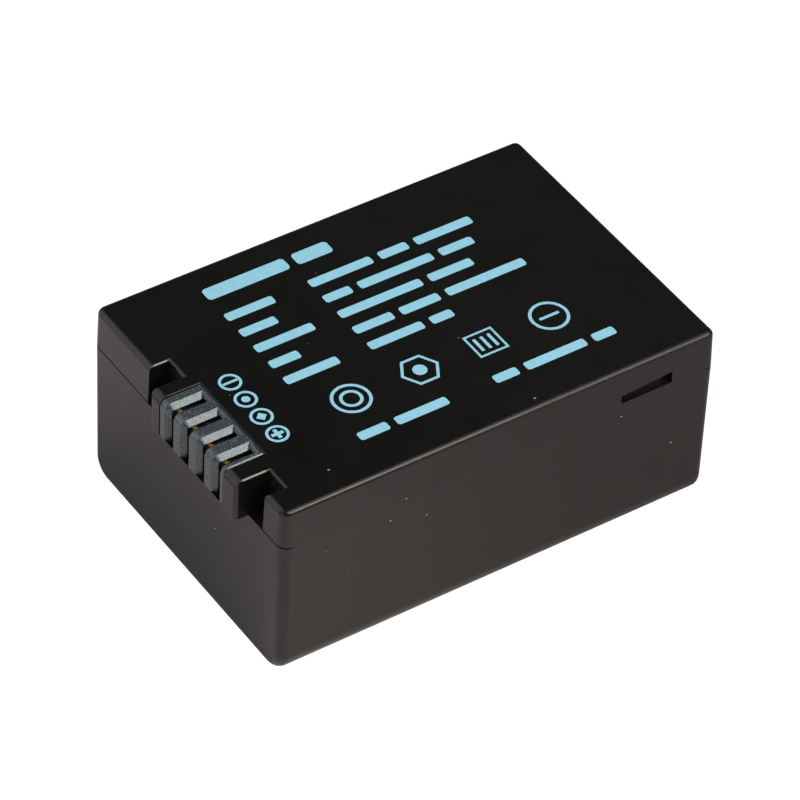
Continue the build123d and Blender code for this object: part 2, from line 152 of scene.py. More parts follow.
# Dust specks: two places on the right side, front end or top, in mm; the faint ones lie on the right side
RIGHT_SPECKS = ((-10.61, 17.32), (-12.37, 15.25), (-8.11, 13.93), (14.93, 15.88), (21.61, 9.12))
FRONT_SPECKS = ((5.73, 10.77),)
TOP_SPECKS = ((14.23, -17.57), (16.1, 5.1))
FAINT_SPECKS = ((-15.93, 15.61), (-17.1, 10.73), (-19.76, 14.87))
SPECK_RADIUS = 0.11 * MM
FAINT_RADIUS = 0.06 * MM

# Shape of a speck: how uneven it is, its flattened width and height, and its length, which grows in steps
SPECK_UNEVEN = 0.4
SPECK_WIDTH = 0.55
SPECK_HEIGHT = 0.5
SPECK_LENGTH = 0.75
SPECK_STEP = 0.1
SPECK_STEPS = 8

# Floor: its size in metres, its dark and pale tones of painted shade and light as shares, and the stretches
# over which they fade
FLOOR_SIZE = 6.0
FLOOR_DARK = 0.8
FLOOR_PALE = 1.2
RIGHT_FADE = (6 * MM, 20 * MM)
REAR_FADE = (-14 * MM, 24 * MM)
LEFT_FADE = (-30 * MM, -18 * MM)

# Brightness of floor and backdrop to the camera, and of the room that the pack reflects
BACKDROP_GLOW = 1.1
ROOM_GLOW = 0.035

# Lights: the direction from the pack, then distance and width in metres
KEY_LIGHT = ((0.676, 0.428, 0.6), 0.7, 0.26)
OVERHEAD_LIGHT = ((0.6, 0.0, 0.8), 0.8, 0.4)
BACK_LIGHT = ((0.2, 0.5, 0.84), 0.8, 0.4)
FRONT_PANEL = ((-0.6, -0.5, 0.6), 0.8, 0.8)
FRONT_LIGHT = ((0.1, -0.9, 0.28), 0.8, 0.5)
LOW_LIGHT = ((-0.62, -0.76, 0.18), 0.8, 0.25)
LEFT_LIGHT = ((-0.9, 0.1, 0.45), 0.8, 0.5)

# Camera: the point that it looks at in mm, its sensor's width in mm and its nearest depth in metres
CAMERA_AIM = (-4.359, 3.65, 6.247)
SENSOR_WIDTH = 36.0
NEAREST = 0.01


class ShellSettings(bpy.types.PropertyGroup):
    """The moulded black shells."""
    colour: FloatVectorProperty(
        name="Shell colour", description="Colour of the black moulded plastic",
        subtype="COLOR", min=0.0, max=1.0, default=(0.0045, 0.0042, 0.004))
    grain_size: FloatProperty(
        name="Grain size", description="Size of the fine grain of the moulding tool",
        unit="LENGTH", precision=5, default=0.14 * MM)
    grain_depth: FloatProperty(
        name="Grain depth", description="Depth of the fine grain of the moulding tool",
        unit="LENGTH", precision=6, default=0.008 * MM)


class TerminalSettings(bpy.types.PropertyGroup):
    """The grey terminal block and its contacts."""
    block_colour: FloatVectorProperty(
        name="Block colour", description="Colour of the grey terminal block",
        subtype="COLOR", min=0.0, max=1.0, default=(0.051, 0.06, 0.071))
    gold_colour: FloatVectorProperty(
        name="Gold colour", description="Colour of the plated contacts",
        subtype="COLOR", min=0.0, max=1.0, default=(1.0, 0.6, 0.17))


class PrintSettings(bpy.types.PropertyGroup):
    """The light blue print on the cover."""
    ink_colour: FloatVectorProperty(
        name="Ink colour", description="Colour of the printing ink",
        subtype="COLOR", min=0.0, max=1.0, default=(0.305, 0.65, 0.815))
    ink_proud: FloatProperty(
        name="Ink height", description="How far the ink stands above the cover",
        unit="LENGTH", precision=6, default=0.012 * MM)
    bar_height: FloatProperty(
        name="Bar height", description="Height of the bars of the printed table",
        unit="LENGTH", precision=5, default=1.15 * MM)
    title_height: FloatProperty(
        name="Title height", description="Height of the bars of the title row",
        unit="LENGTH", precision=5, default=1.75 * MM)
    ring_diameter: FloatProperty(
        name="Ring diameter", description="Outer diameter of the terminal rings",
        unit="LENGTH", precision=5, default=2.38 * MM)
    ring_stroke: FloatProperty(
        name="Ring stroke", description="Width of the lines of rings and symbols",
        unit="LENGTH", precision=5, default=0.3 * MM)
    ring_pitch: FloatProperty(
        name="Ring pitch", description="Distance between the terminal rings",
        unit="LENGTH", precision=5, default=2.86 * MM)


class StudioSettings(bpy.types.PropertyGroup):
    """Floor, lights and camera."""
    floor_colour: FloatVectorProperty(
        name="Floor colour", description="Colour of the floor",
        subtype="COLOR", min=0.0, max=1.0, default=(0.8, 0.745, 0.745))
    light_colour: FloatVectorProperty(
        name="Light colour", description="Colour of the lights on the right and above",
        subtype="COLOR", min=0.0, max=1.0, default=(1.0, 0.98, 0.93))
    front_colour: FloatVectorProperty(
        name="Front light colour", description="Colour of the cooler lights in front and on the left",
        subtype="COLOR", min=0.0, max=1.0, default=(0.96, 0.965, 0.985))
    key_power: FloatProperty(
        name="Key light", description="Power of the light behind the right side",
        unit="POWER", default=2.65)
    roof_power: FloatProperty(
        name="Overhead light", description="Power of the soft light above the right side",
        unit="POWER", default=2.7)
    back_power: FloatProperty(
        name="Back light", description="Power of the soft light above the rear end",
        unit="POWER", default=0.8)
    panel_power: FloatProperty(
        name="Front panel", description="Power of the large soft panel before the front left corner",
        unit="POWER", default=2.56)
    front_power: FloatProperty(
        name="Front light", description="Power of the low soft light in front of the terminals",
        unit="POWER", default=0.67)
    low_power: FloatProperty(
        name="Low light", description="Power of the small low light before the front left corner",
        unit="POWER", default=0.26)
    left_power: FloatProperty(
        name="Left light", description="Power of the weak light on the left",
        unit="POWER", default=0.14)
    azimuth: FloatProperty(
        name="Camera azimuth", description="Direction that the camera looks from, round the pack",
        subtype="ANGLE", default=math.radians(54.46))
    elevation: FloatProperty(
        name="Camera elevation", description="Height of the camera's direction above the floor",
        subtype="ANGLE", default=math.radians(42.52))
    roll: FloatProperty(
        name="Camera roll", description="Turn of the camera about its own line of sight",
        subtype="ANGLE", default=math.radians(2.96))
    distance: FloatProperty(
        name="Camera distance", description="Distance from the camera to the point that it looks at",
        unit="LENGTH", default=504.4 * MM)
    lens: FloatProperty(
        name="Focal length", description="Focal length on a 36 mm sensor, in millimetres", default=223.2)


# Node helpers

def add_node(tree, kind, **values):
    """A new node with its properties and the defaults of its named inputs set."""
    node = tree.nodes.new(kind)
    for key, value in values.items():
        if hasattr(node, key):
            setattr(node, key, value)
        else:
            node.inputs[key].default_value = value
    return node


def math_node(tree, operation, first, second):
    """A math node whose two inputs are sockets or numbers."""
    node = add_node(tree, "ShaderNodeMath", operation=operation)
    for index, value in enumerate((first, second)):
        if isinstance(value, (int, float)):
            node.inputs[index].default_value = value
        else:
            tree.links.new(value, node.inputs[index])
    return node.outputs[0]


def distance_from(tree, value, middle):
    """How far a value lies from a middle, on either side."""
    return math_node(tree, "ABSOLUTE", math_node(tree, "SUBTRACT", value, middle), 0.0)


def mix_colour(tree, share, first, second):
    """A colour between two colours; each is a socket or a colour."""
    node = add_node(tree, "ShaderNodeMix", data_type="RGBA")
    for index, value in ((0, share), (6, first), (7, second)):
        if isinstance(value, bpy.types.NodeSocket):
            tree.links.new(value, node.inputs[index])
        elif isinstance(value, (int, float)):
            node.inputs[index].default_value = value
        else:
            node.inputs[index].default_value = (*value, 1.0)
    return node.outputs[2]


def spread(tree, value, low, high, start=0.0, end=1.0):
    """A value between start and end spread over the range from low to high."""
    node = add_node(tree, "ShaderNodeMapRange")
    tree.links.new(value, node.inputs["Value"])
    node.inputs["From Min"].default_value = start
    node.inputs["From Max"].default_value = end
    node.inputs["To Min"].default_value = low
    node.inputs["To Max"].default_value = high
    return node.outputs["Result"]


def shade(colour, factor):
    """A colour made lighter or darker."""
    return tuple(min(1.0, channel * factor) for channel in colour)


def new_group(name, inputs, outputs):
    """An empty node group with named float inputs and outputs."""
    group = bpy.data.node_groups.new(name, "ShaderNodeTree")
    for label, default in inputs:
        socket = group.interface.new_socket(name=label, in_out="INPUT", socket_type="NodeSocketFloat")
        socket.default_value = default
    for label in outputs:
        group.interface.new_socket(name=label, in_out="OUTPUT", socket_type="NodeSocketFloat")
    return group, group.nodes.new("NodeGroupInput"), group.nodes.new("NodeGroupOutput")


def grain_group():
    """Fine tool grain for the bump, and slow mottling for colour and gloss."""
    name = "moulded grain"
    if name in bpy.data.node_groups:
        return bpy.data.node_groups[name]
    group, given, made = new_group(
        name, (("Grain Size", 0.14 * MM), ("Mottle Size", 3 * MM)), ("Height", "Mottle"))
    place = add_node(group, "ShaderNodeTexCoord")
    grain = add_node(group, "ShaderNodeTexNoise", Detail=3.0, Roughness=0.6)
    mottle = add_node(group, "ShaderNodeTexNoise", Detail=4.0, Roughness=0.55)
    for texture, size in ((grain, "Grain Size"), (mottle, "Mottle Size")):
        group.links.new(place.outputs["Object"], texture.inputs["Vector"])
        group.links.new(math_node(group, "DIVIDE", 1.0, given.outputs[size]), texture.inputs["Scale"])
    group.links.new(grain.outputs["Fac"], made.inputs["Height"])
    group.links.new(mottle.outputs["Fac"], made.inputs["Mottle"])
    return group


def dust_group():
    """A mask of scattered specks of different sizes."""
    name = "settled dust"
    if name in bpy.data.node_groups:
        return bpy.data.node_groups[name]
    group, given, made = new_group(
        name, (("Speck Size", 0.05 * MM), ("Spacing", 1.2 * MM), ("Share", 0.3)), ("Mask",))
    place = add_node(group, "ShaderNodeTexCoord")
    cells = add_node(group, "ShaderNodeTexVoronoi")
    group.links.new(place.outputs["Object"], cells.inputs["Vector"])
    group.links.new(math_node(group, "DIVIDE", 1.0, given.outputs["Spacing"]), cells.inputs["Scale"])
    chance = add_node(group, "ShaderNodeSeparateColor")
    group.links.new(cells.outputs["Color"], chance.inputs["Color"])
    reach = math_node(group, "DIVIDE", given.outputs["Speck Size"], given.outputs["Spacing"])
    reach = math_node(group, "MULTIPLY", reach, chance.outputs["Green"])
    near = math_node(group, "LESS_THAN", cells.outputs["Distance"], reach)
    chosen = math_node(group, "LESS_THAN", chance.outputs["Red"], given.outputs["Share"])
    group.links.new(math_node(group, "MULTIPLY", near, chosen), made.inputs["Mask"])
    return group


def fibre_group():
    """Streaks along the pack, for rolled metal and paper."""
    name = "fine streaks"
    if name in bpy.data.node_groups:
        return bpy.data.node_groups[name]
    group, given, made = new_group(
        name, (("Streak Width", 0.05 * MM), ("Stretch", 0.05)), ("Streaks",))
    place = add_node(group, "ShaderNodeTexCoord")
    scale = add_node(group, "ShaderNodeCombineXYZ", X=1.0, Z=1.0)
    group.links.new(given.outputs["Stretch"], scale.inputs["Y"])
    stretched = add_node(group, "ShaderNodeVectorMath", operation="MULTIPLY")
    group.links.new(place.outputs["Object"], stretched.inputs[0])
    group.links.new(scale.outputs["Vector"], stretched.inputs[1])
    streaks = add_node(group, "ShaderNodeTexNoise", Detail=5.0, Roughness=0.65)
    group.links.new(stretched.outputs["Vector"], streaks.inputs["Vector"])
    group.links.new(math_node(group, "DIVIDE", 1.0, given.outputs["Streak Width"]), streaks.inputs["Scale"])
    group.links.new(streaks.outputs["Fac"], made.inputs["Streaks"])
    return group


def place_group(tree, group, **values):
    """A group placed in a material, with the values of its inputs."""
    node = add_node(tree, "ShaderNodeGroup", node_tree=group)
    for label, value in values.items():
        node.inputs[label.replace("_", " ")].default_value = value
    return node


def new_material(name):
    """A material with one shader, and its tree."""
    material = bpy.data.materials.new(name)
    material.use_nodes = True
    return material, material.node_tree, material.node_tree.nodes["Principled BSDF"]


def add_bump(tree, shader, height, depth):
    """Bump of a real depth from a height between 0 and 1."""
    bump = add_node(tree, "ShaderNodeBump", Strength=1.0, Distance=depth)
    tree.links.new(height, bump.inputs["Height"])
    tree.links.new(bump.outputs["Normal"], shader.inputs["Normal"])


def place_axis(tree, axis):
    """The place on the pack along one axis, in metres."""
    place = add_node(tree, "ShaderNodeTexCoord")
    parts = add_node(tree, "ShaderNodeSeparateXYZ")
    tree.links.new(place.outputs["Object"], parts.inputs["Vector"])
    return parts.outputs[axis]


def give_finish(nodes, material):
    """The nodes of the pack take a material."""
    for node in nodes:
        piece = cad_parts[node]
        for slot in piece.material_slots:
            slot.material = material


# Finishes

def seam_light_mask(tree):
    """A mask of the shallow groove where the shells meet on the long sides, where painted light lifts the
    groove's shade.
    """
    aside = distance_from(tree, place_axis(tree, "X"), 0.0)
    up = place_axis(tree, "Z")
    seam = case_high.z - COVER_DEPTH
    inside = math_node(tree, "LESS_THAN", aside, tray_high.x - SEAM_RIM)
    shallow = math_node(tree, "GREATER_THAN", aside, tray_high.x - SEAM_DEPTH)
    under = math_node(tree, "LESS_THAN", up, seam + SEAM_RIM)
    over = math_node(tree, "GREATER_THAN", up, seam - SEAM_HEIGHT)
    width = math_node(tree, "MULTIPLY", inside, shallow)
    return math_node(tree, "MULTIPLY", width, math_node(tree, "MULTIPLY", under, over))


def painted_glint_mask(tree):
    """A mask of the painted highlights on the top edges of the guide notches."""
    across = place_axis(tree, "X")
    along = place_axis(tree, "Y")
    painted_light = 0.0
    for edge, front, rear in PAINTED_GLINT_EDGES:
        aside = distance_from(tree, across, edge * MM - PAINTED_GLINT_WIDTH / 2)
        off = distance_from(tree, along, (front + rear) / 2 * MM)
        near = math_node(tree, "LESS_THAN", aside, PAINTED_GLINT_WIDTH / 2)
        within = math_node(tree, "LESS_THAN", off, (rear - front) / 2 * MM)
        painted_light = math_node(tree, "MAXIMUM", math_node(tree, "MULTIPLY", near, within), painted_light)
    high = math_node(tree, "GREATER_THAN", place_axis(tree, "Z"), case_high.z - PAINTED_GLINT_WIDTH)
    return math_node(tree, "MULTIPLY", painted_light, high)


def shell_plastic(settings):
    """Black moulded plastic with a fine matt grain and a little dust, with painted highlights on two edges
    and painted light in the seam groove.
    """
    material, tree, shader = new_material("shell_plastic")
    grain = place_group(tree, grain_group(), Grain_Size=settings.grain_size, Mottle_Size=5 * MM)
    dust = place_group(tree, dust_group(), Speck_Size=0.09 * MM, Spacing=2.2 * MM, Share=0.3)
    colour = tuple(settings.colour)
    plastic = mix_colour(tree, grain.outputs["Mottle"], shade(colour, 0.8), shade(colour, 1.2))
    dusty = mix_colour(tree, dust.outputs["Mask"], plastic, DUST_COLOUR)
    # Painted light: the seam groove is made paler so that its shade hardly shows
    seam_lit = mix_colour(tree, seam_light_mask(tree), dusty, SEAM_LIGHT_COLOUR)
    # Painted highlight: two notch edges are made pale where a glint falls on them
    painted_light = mix_colour(tree, painted_glint_mask(tree), seam_lit, PAINTED_GLINT_COLOUR)
    tree.links.new(painted_light, shader.inputs["Base Color"])
    worn = spread(tree, place_axis(tree, "Y"), -WORN_CHANGE, WORN_CHANGE, *WORN_SPAN)
    matt = math_node(tree, "ADD", spread(tree, grain.outputs["Mottle"], 0.3, 0.4), worn)
    tree.links.new(matt, shader.inputs["Roughness"])
    shader.inputs["Specular IOR Level"].default_value = 0.42
    shader.inputs["Specular Tint"].default_value = (1.0, 0.97, 0.97, 1.0)
    add_bump(tree, shader, grain.outputs["Height"], settings.grain_depth)
    return material


def slot_shade_mask(tree):
    """A mask of the painted shade in the slots: 1 on their walls below the lead-ins and on their rear ends, 0
    elsewhere.
    """
    across = place_axis(tree, "X")
    up = place_axis(tree, "Z")
    deep = math_node(tree, "LESS_THAN", up, block_high.z - LEAD_IN)
    rear = math_node(tree, "GREATER_THAN", place_axis(tree, "Y"), block_high.y - SLOT_END)
    under_rim = math_node(tree, "LESS_THAN", up, block_high.z - END_RIM)
    rear_end = math_node(tree, "MULTIPLY", rear, under_rim)
    walls = 0.0
    for node in CONTACTS:
        low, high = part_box(node)
        aside = distance_from(tree, across, (low.x + high.x) / 2)
        wall = math_node(tree, "LESS_THAN", aside, SLOT_GAP / 2 + SLOT_RIM)
        walls = math_node(tree, "MAXIMUM", wall, walls)
    return math_node(tree, "MAXIMUM", math_node(tree, "MULTIPLY", walls, deep), rear_end)


def block_plastic(settings):
    """Grey glass-filled plastic, speckled with short pale fibres, with painted shade down in its slots."""
    material, tree, shader = new_material("block_plastic")
    grain = place_group(tree, grain_group(), Grain_Size=0.15 * MM, Mottle_Size=1.2 * MM)
    fibres = place_group(tree, dust_group(), Speck_Size=0.1 * MM, Spacing=0.15 * MM, Share=0.5)
    colour = tuple(settings.block_colour)
    plastic = mix_colour(tree, grain.outputs["Mottle"], shade(colour, 0.6), shade(colour, 1.1))
    filled = mix_colour(tree, fibres.outputs["Mask"], plastic, shade(colour, 2.4))
    # Painted shade: the slot walls and rear ends are darkened where the slots lie in shade
    painted_light = mix_colour(tree, slot_shade_mask(tree), filled, shade(colour, 0.08))
    tree.links.new(painted_light, shader.inputs["Base Color"])
    tree.links.new(spread(tree, grain.outputs["Height"], 0.12, 0.42), shader.inputs["Roughness"])
    shader.inputs["Specular IOR Level"].default_value = 0.62
    shader.inputs["Specular Tint"].default_value = (0.88, 0.99, 1.0, 1.0)
    add_bump(tree, shader, grain.outputs["Height"], 0.022 * MM)
    return material


def plated_gold(settings):
    """Gold plating over rolled bronze."""
    material, tree, shader = new_material("plated_gold")
    streaks = place_group(tree, fibre_group(), Streak_Width=0.03 * MM, Stretch=0.1)
    colour = tuple(settings.gold_colour)
    gold = mix_colour(tree, streaks.outputs["Streaks"], shade(colour, 0.75), colour)
    tree.links.new(gold, shader.inputs["Base Color"])
    tree.links.new(spread(tree, streaks.outputs["Streaks"], 0.14, 0.3), shader.inputs["Roughness"])
    shader.inputs["Metallic"].default_value = 1.0
    add_bump(tree, shader, streaks.outputs["Streaks"], 0.03 * MM)
    return material


def printing_ink(settings):
    """Light blue screen ink, a little uneven."""
    material, tree, shader = new_material("printing_ink")
    grain = place_group(tree, grain_group(), Grain_Size=0.09 * MM, Mottle_Size=0.8 * MM)
    colour = tuple(settings.ink_colour)
    ink = mix_colour(tree, grain.outputs["Mottle"], shade(colour, 0.88), shade(colour, 1.1))
    tree.links.new(ink, shader.inputs["Base Color"])
    tree.links.new(spread(tree, grain.outputs["Mottle"], 0.45, 0.6), shader.inputs["Roughness"])
    add_bump(tree, shader, grain.outputs["Height"], 0.004 * MM)
    return material


def dust_fluff():
    """Pale lint."""
    material, tree, shader = new_material("dust_fluff")
    grain = place_group(tree, grain_group(), Grain_Size=0.03 * MM, Mottle_Size=0.1 * MM)
    lint = mix_colour(tree, grain.outputs["Mottle"], (0.2, 0.19, 0.17), (0.62, 0.6, 0.56))
    tree.links.new(lint, shader.inputs["Base Color"])
    shader.inputs["Roughness"].default_value = 0.9
    return material


def cell_sleeve():
    """A blue shrink sleeve, with the bare steel ends of the can."""
    material, tree, shader = new_material("cell_sleeve")
    grain = place_group(tree, grain_group(), Grain_Size=0.4 * MM, Mottle_Size=2 * MM)
    across = place_axis(tree, "X")
    middle = (cell_low.x + cell_high.x) / 2
    aside = distance_from(tree, across, middle)
    bare = math_node(tree, "GREATER_THAN", aside, cell_high.x - middle - BARE_END)
    sleeve = mix_colour(tree, grain.outputs["Mottle"], (0.02, 0.09, 0.22), (0.03, 0.13, 0.3))
    steel = mix_colour(tree, grain.outputs["Mottle"], (0.5, 0.5, 0.5), (0.64, 0.63, 0.61))
    tree.links.new(mix_colour(tree, bare, sleeve, steel), shader.inputs["Base Color"])
    tree.links.new(bare, shader.inputs["Metallic"])
    tree.links.new(spread(tree, grain.outputs["Mottle"], 0.22, 0.34), shader.inputs["Roughness"])
    add_bump(tree, shader, grain.outputs["Height"], 0.01 * MM)
    return material


def rolled_nickel():
    """Nickel strip with the lines of the rolls."""
    material, tree, shader = new_material("rolled_nickel")
    streaks = place_group(tree, fibre_group(), Streak_Width=0.06 * MM, Stretch=0.04)
    nickel = mix_colour(tree, streaks.outputs["Streaks"], (0.46, 0.44, 0.4), (0.72, 0.7, 0.65))
    tree.links.new(nickel, shader.inputs["Base Color"])
    tree.links.new(spread(tree, streaks.outputs["Streaks"], 0.2, 0.42), shader.inputs["Roughness"])
    shader.inputs["Metallic"].default_value = 1.0
    return material


def pressed_paper(name, colour):
    """Dense paper or card with fibres."""
    material, tree, shader = new_material(name)
    fibres = place_group(tree, fibre_group(), Streak_Width=0.12 * MM, Stretch=0.25)
    paper = mix_colour(tree, fibres.outputs["Streaks"], shade(colour, 0.78), shade(colour, 1.15))
    tree.links.new(paper, shader.inputs["Base Color"])
    add_bump(tree, shader, fibres.outputs["Streaks"], 0.02 * MM)
    shader.inputs["Roughness"].default_value = 0.82
    return material


def board_laminate():
    """Green solder mask with paler tracks under it."""
    material, tree, shader = new_material("board_laminate")
    place = add_node(tree, "ShaderNodeTexCoord")
    turned = add_node(tree, "ShaderNodeMapping")
    turned.inputs["Rotation"].default_value = (math.radians(90.0), 0.0, 0.0)
    tree.links.new(place.outputs["Object"], turned.inputs["Vector"])
    tracks = add_node(tree, "ShaderNodeTexBrick", Scale=1.0 / MM)
    for label, value in (("Mortar Size", 0.16), ("Brick Width", 3.1), ("Row Height", 1.3)):
        tracks.inputs[label].default_value = value
    tree.links.new(turned.outputs["Vector"], tracks.inputs["Vector"])
    grain = place_group(tree, grain_group(), Grain_Size=0.2 * MM, Mottle_Size=1.5 * MM)
    mask = mix_colour(tree, grain.outputs["Mottle"], (0.008, 0.09, 0.03), (0.015, 0.14, 0.05))
    laminate = mix_colour(tree, tracks.outputs["Fac"], mask, (0.03, 0.24, 0.09))
    tree.links.new(laminate, shader.inputs["Base Color"])
    add_bump(tree, shader, tracks.outputs["Fac"], 0.03 * MM)
    shader.inputs["Roughness"].default_value = 0.3
    return material


def chip_moulding():
    """Black epoxy with tinned leads where the chip meets the board."""
    material, tree, shader = new_material("chip_moulding")
    grain = place_group(tree, grain_group(), Grain_Size=0.06 * MM, Mottle_Size=0.5 * MM)
    along = place_axis(tree, "Y")
    lead = math_node(tree, "LESS_THAN", along, board_high.y + LEAD_HEIGHT)
    epoxy = mix_colour(tree, grain.outputs["Mottle"], (0.014, 0.014, 0.015), (0.03, 0.03, 0.032))
    tin = mix_colour(tree, grain.outputs["Mottle"], (0.5, 0.5, 0.5), (0.68, 0.67, 0.65))
    tree.links.new(mix_colour(tree, lead, epoxy, tin), shader.inputs["Base Color"])
    tree.links.new(lead, shader.inputs["Metallic"])
    tree.links.new(spread(tree, grain.outputs["Mottle"], 0.38, 0.55), shader.inputs["Roughness"])
    add_bump(tree, shader, grain.outputs["Height"], 0.006 * MM)
    return material


def chip_ceramic():
    """Fired ceramic, speckled."""
    material, tree, shader = new_material("chip_ceramic")
    grain = place_group(tree, grain_group(), Grain_Size=0.05 * MM, Mottle_Size=0.3 * MM)
    body = mix_colour(tree, grain.outputs["Mottle"], (0.3, 0.22, 0.13), (0.52, 0.42, 0.28))
    tree.links.new(body, shader.inputs["Base Color"])
    tree.links.new(spread(tree, grain.outputs["Mottle"], 0.3, 0.5), shader.inputs["Roughness"])
    add_bump(tree, shader, grain.outputs["Height"], 0.004 * MM)
    return material


def pad_foam():
    """Dark closed-cell foam."""
    material, tree, shader = new_material("pad_foam")
    place = add_node(tree, "ShaderNodeTexCoord")
    cells = add_node(tree, "ShaderNodeTexVoronoi", Scale=1.0 / (0.25 * MM))
    tree.links.new(place.outputs["Object"], cells.inputs["Vector"])
    foam = mix_colour(tree, cells.outputs["Distance"], (0.03, 0.03, 0.03), (0.1, 0.1, 0.1))
    tree.links.new(foam, shader.inputs["Base Color"])
    add_bump(tree, shader, cells.outputs["Distance"], 0.08 * MM)
    shader.inputs["Roughness"].default_value = 0.9
    return material


# Modelling helpers

def begin_shape(name):
    """An empty mesh object in edit mode, for flat shapes that are added one by one."""
    bpy.ops.object.select_all(action="DESELECT")
    bpy.ops.mesh.primitive_plane_add(size=MM)
    piece = bpy.context.object
    piece.name = name
    piece.data.name = name
    bpy.ops.object.mode_set(mode="EDIT")
    bpy.ops.mesh.select_all(action="SELECT")
    bpy.ops.mesh.delete(type="VERT")
    return piece


def end_shape(piece, material):
    """Leaves edit mode, and the finished piece takes its material and rides with the pack."""
    bpy.ops.mesh.select_all(action="SELECT")
    bpy.ops.mesh.normals_make_consistent(inside=False)
    bpy.ops.object.mode_set(mode="OBJECT")
    piece.data.materials.clear()
    piece.data.materials.append(material)
    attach(piece, "root")
    piece.select_set(False)


def thicken_ink(proud):
    """Draws the flat shapes out into thin solids that stand above the cover and reach as far into it."""
    bpy.ops.mesh.select_all(action="SELECT")
    bpy.ops.mesh.extrude_region_move(TRANSFORM_OT_translate={"value": (0.0, 0.0, 2 * proud)})


def add_bar(across, along, width, length, height, corner):
    """A flat bar with rounded corners, in edit mode."""
    centre = (across, along, height)
    bpy.ops.mesh.primitive_plane_add(size=1.0, location=centre)
    bpy.ops.transform.resize(value=(width, length, 1.0), center_override=centre)
    bpy.ops.mesh.bevel(offset=corner, segments=4, affect="VERTICES")


def add_ring(across, along, radius, stroke, height, corners, turn=0.0):
    """A flat ring or an outlined polygon, in edit mode."""
    centre = (across, along, height)
    bpy.ops.mesh.primitive_circle_add(
        vertices=corners, radius=radius, fill_type="NOTHING", location=centre, rotation=(0.0, 0.0, turn))
    inner = (radius - stroke) / radius
    bpy.ops.mesh.extrude_edges_move()
    bpy.ops.transform.resize(value=(inner, inner, 1.0), center_override=centre)


def add_dot(across, along, radius, height, corners, turn=0.0):
    """A flat filled disc or polygon, in edit mode."""
    bpy.ops.mesh.primitive_circle_add(
        vertices=corners, radius=radius, fill_type="NGON", location=(across, along, height),
        rotation=(0.0, 0.0, turn))


def add_cross(across, along, size, stroke, height):
    """A plus sign without overlaps, in edit mode."""
    arm = (size - stroke) / 2
    add_bar(across, along, stroke, size, height, stroke * LINE_ROUND)
    for side in (-1, 1):
        add_bar(across + side * (stroke + arm) / 2, along, arm, stroke, height, stroke * LINE_ROUND)


# Operators

class BATTERY_OT_finish_shells(bpy.types.Operator):
    """Gives the two shells their grained black plastic"""
    bl_idname = "battery.finish_shells"
    bl_label = "Finish shells"

    def execute(self, context):
        give_finish(SHELLS, shell_plastic(context.scene.battery_shells))
        return {"FINISHED"}


class BATTERY_OT_finish_terminals(bpy.types.Operator):
    """Gives the terminal block its grey plastic and the contacts their plating"""
    bl_idname = "battery.finish_terminals"
    bl_label = "Finish terminals"

    def execute(self, context):
        settings = context.scene.battery_terminals
        give_finish(("terminal_block",), block_plastic(settings))
        give_finish(CONTACTS, plated_gold(settings))
        return {"FINISHED"}


class BATTERY_OT_finish_inside(bpy.types.Operator):
    """Gives the cells, strips, papers, board, chips and pad inside the pack their finishes"""
    bl_idname = "battery.finish_inside"
    bl_label = "Finish inner pieces"

    def execute(self, context):
        give_finish(CELLS, cell_sleeve())
        give_finish(STRIPS, rolled_nickel())
        give_finish(PAPERS, pressed_paper("insulating_paper", (0.3, 0.38, 0.3)))
        give_finish(("barrier_card",), pressed_paper("barrier_card", (0.5, 0.46, 0.36)))
        give_finish(("protection_board",), board_laminate())
        give_finish(CHIPS, chip_moulding())
        give_finish(CERAMICS, chip_ceramic())
        give_finish(("roof_pad",), pad_foam())
        return {"FINISHED"}


class BATTERY_OT_print_rings(bpy.types.Operator):
    """Prints a ring with a plain mark beside each terminal"""
    bl_idname = "battery.print_rings"
    bl_label = "Print terminal rings"

    def execute(self, context):
        settings = context.scene.battery_print
        height = case_high.z - settings.ink_proud
        along = RING_ROW
        radius = settings.ring_diameter / 2
        stroke = settings.ring_stroke
        mark = settings.ring_diameter - 2 * stroke
        piece = begin_shape("print_rings")
        places = [FIRST_RING + index * settings.ring_pitch for index in range(len(CONTACTS))]
        for across in places:
            add_ring(across, along, radius, stroke, height, FINE_CORNERS)
        add_bar(places[0], along, stroke, mark * MINUS_LENGTH, height, stroke * LINE_ROUND)
        add_dot(places[1], along, mark * DOT_RADIUS, height, SMALL_CORNERS)
        add_dot(places[2], along, mark * DIAMOND_RADIUS, height, 4)
        add_cross(places[3], along, mark * PLUS_LENGTH, stroke * PLUS_STROKE, height)
        thicken_ink(settings.ink_proud)
        end_shape(piece, printing_ink(settings))
        return {"FINISHED"}


class BATTERY_OT_print_rows(bpy.types.Operator):
    """Prints the title, the table and the foot row as plain bars"""
    bl_idname = "battery.print_rows"
    bl_label = "Print bars"

    def execute(self, context):
        settings = context.scene.battery_print
        height = case_high.z - settings.ink_proud
        piece = begin_shape("print_bars")
        for across, bars in (TITLE_ROW, *TABLE_ROWS, FOOT_ROW):
            width = settings.title_height if across == TITLE_ROW[0] else settings.bar_height
            for start, length in bars:
                add_bar(across * MM, (start + length / 2) * MM, width, length * MM, height, width * BAR_ROUND)
        thicken_ink(settings.ink_proud)
        end_shape(piece, bpy.data.materials["printing_ink"])
        return {"FINISHED"}


